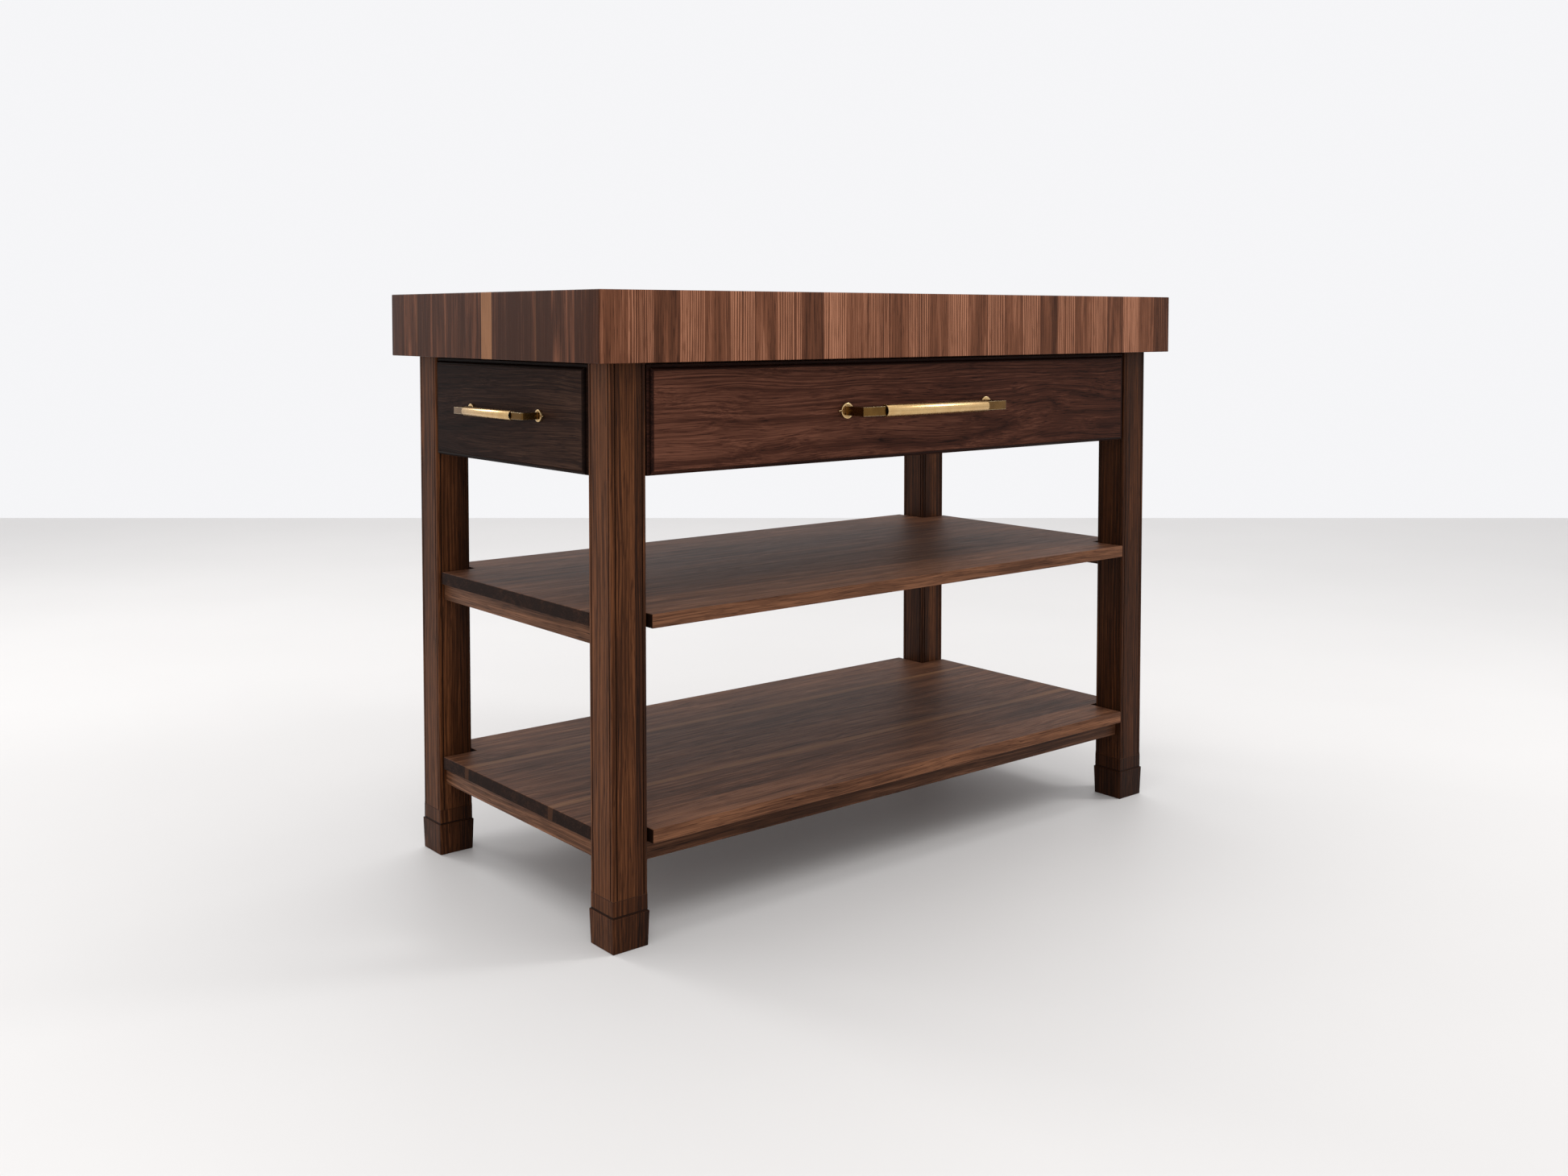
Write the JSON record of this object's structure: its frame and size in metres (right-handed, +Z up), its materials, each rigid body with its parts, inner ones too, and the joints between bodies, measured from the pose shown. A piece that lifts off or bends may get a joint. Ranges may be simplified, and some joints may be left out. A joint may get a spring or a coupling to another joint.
{
  "type": "butcher block table",
  "caption": "Kitchen work table: thick walnut end-grain block on square legs, with a front drawer, an end drawer, brass bar pulls and open shelves.",
  "frame": {"origin": "on the floor under the middle of the table's overall box, pulls included", "axes": "+Z up; the wide front drawer faces -Y and slides out towards -Y; the end drawer faces -X, which is the left end as seen from the front"},
  "size_m": [1.2224, 0.6514, 0.914],
  "materials": {
    "walnut_end_grain_block": "oiled end-grain walnut",
    "walnut_legs": "satin lacquered walnut",
    "walnut_rails": "satin lacquered walnut",
    "walnut_drawer_fronts": "satin lacquered dark walnut",
    "walnut_shelves": "satin lacquered edge-glued walnut",
    "maple_drawer_boxes": "clear lacquered maple",
    "brass_pulls": "satin brass",
    "zinc_plated_steel": "zinc plated"
  },
  "bodies": {
    "carcass": {"butcher_block_top": "walnut_end_grain_block", "leg_front_left": "walnut_legs", "leg_front_right": "walnut_legs", "leg_back_left": "walnut_legs", "leg_back_right": "walnut_legs", "back_apron": "walnut_rails", "right_apron": "walnut_rails", "front_top_rail": "walnut_rails", "left_top_rail": "walnut_rails", "inner_front_rail": "walnut_rails", "divider_panel": "walnut_rails", "back_packer": "walnut_rails", "right_packer": "walnut_rails", "back_top_cleat": "walnut_rails", "right_top_cleat": "walnut_rails", "middle_shelf": "walnut_shelves", "lower_shelf": "walnut_shelves", "middle_end_rail_left": "walnut_rails", "middle_end_rail_right": "walnut_rails", "lower_end_rail_left": "walnut_rails", "lower_end_rail_right": "walnut_rails", "lower_front_rail": "walnut_rails", "lower_back_rail": "walnut_rails", "front_drawer_slide_fixed_left": "zinc_plated_steel", "front_drawer_slide_fixed_right": "zinc_plated_steel", "end_drawer_slide_fixed_left": "zinc_plated_steel", "end_drawer_slide_fixed_right": "zinc_plated_steel"},
    "front_drawer": {"front_drawer_front": "walnut_drawer_fronts", "front_drawer_side_left": "maple_drawer_boxes", "front_drawer_side_right": "maple_drawer_boxes", "front_drawer_subfront": "maple_drawer_boxes", "front_drawer_back": "maple_drawer_boxes", "front_drawer_bottom": "maple_drawer_boxes", "front_drawer_slide_drawer_left": "zinc_plated_steel", "front_drawer_slide_drawer_right": "zinc_plated_steel", "front_drawer_pull_bar": "brass_pulls", "front_drawer_pull_grip": "brass_pulls", "front_drawer_pull_rose_left": "brass_pulls", "front_drawer_pull_rose_right": "brass_pulls", "front_drawer_pull_screw_left": "zinc_plated_steel", "front_drawer_pull_screw_right": "zinc_plated_steel"},
    "front_drawer_slide_middle_left": {"front_drawer_slide_middle_left": "zinc_plated_steel"},
    "front_drawer_slide_middle_right": {"front_drawer_slide_middle_right": "zinc_plated_steel"},
    "end_drawer": {"end_drawer_front": "walnut_drawer_fronts", "end_drawer_side_left": "maple_drawer_boxes", "end_drawer_side_right": "maple_drawer_boxes", "end_drawer_subfront": "maple_drawer_boxes", "end_drawer_back": "maple_drawer_boxes", "end_drawer_bottom": "maple_drawer_boxes", "end_drawer_slide_drawer_left": "zinc_plated_steel", "end_drawer_slide_drawer_right": "zinc_plated_steel", "end_drawer_pull_bar": "brass_pulls", "end_drawer_pull_grip": "brass_pulls", "end_drawer_pull_rose_left": "brass_pulls", "end_drawer_pull_rose_right": "brass_pulls", "end_drawer_pull_screw_left": "zinc_plated_steel", "end_drawer_pull_screw_right": "zinc_plated_steel"},
    "end_drawer_slide_middle_left": {"end_drawer_slide_middle_left": "zinc_plated_steel"},
    "end_drawer_slide_middle_right": {"end_drawer_slide_middle_right": "zinc_plated_steel"}
  },
  "joints": [
    {"name": "front_drawer_slide", "type": "slide", "parent": "carcass", "child": "front_drawer", "axis": [0, -1, 0], "range_m": [0, 0.43]},
    {"name": "front_drawer_left_middle_slide", "type": "slide", "parent": "carcass", "child": "front_drawer_slide_middle_left", "axis": [0, -1, 0], "range_m": [0, 0.215]},
    {"name": "front_drawer_right_middle_slide", "type": "slide", "parent": "carcass", "child": "front_drawer_slide_middle_right", "axis": [0, -1, 0], "range_m": [0, 0.215]},
    {"name": "end_drawer_slide", "type": "slide", "parent": "carcass", "child": "end_drawer", "axis": [-1, 0, 0], "range_m": [0, 0.235]},
    {"name": "end_drawer_left_middle_slide", "type": "slide", "parent": "carcass", "child": "end_drawer_slide_middle_left", "axis": [-1, 0, 0], "range_m": [0, 0.1175]},
    {"name": "end_drawer_right_middle_slide", "type": "slide", "parent": "carcass", "child": "end_drawer_slide_middle_right", "axis": [-1, 0, 0], "range_m": [0, 0.1175]}
  ],
  "couplings": [
    {"joint": "front_drawer_left_middle_slide", "follows": "front_drawer_slide", "ratio": 0.5},
    {"joint": "front_drawer_right_middle_slide", "follows": "front_drawer_slide", "ratio": 0.5},
    {"joint": "end_drawer_left_middle_slide", "follows": "end_drawer_slide", "ratio": 0.5},
    {"joint": "end_drawer_right_middle_slide", "follows": "end_drawer_slide", "ratio": 0.5}
  ]
}
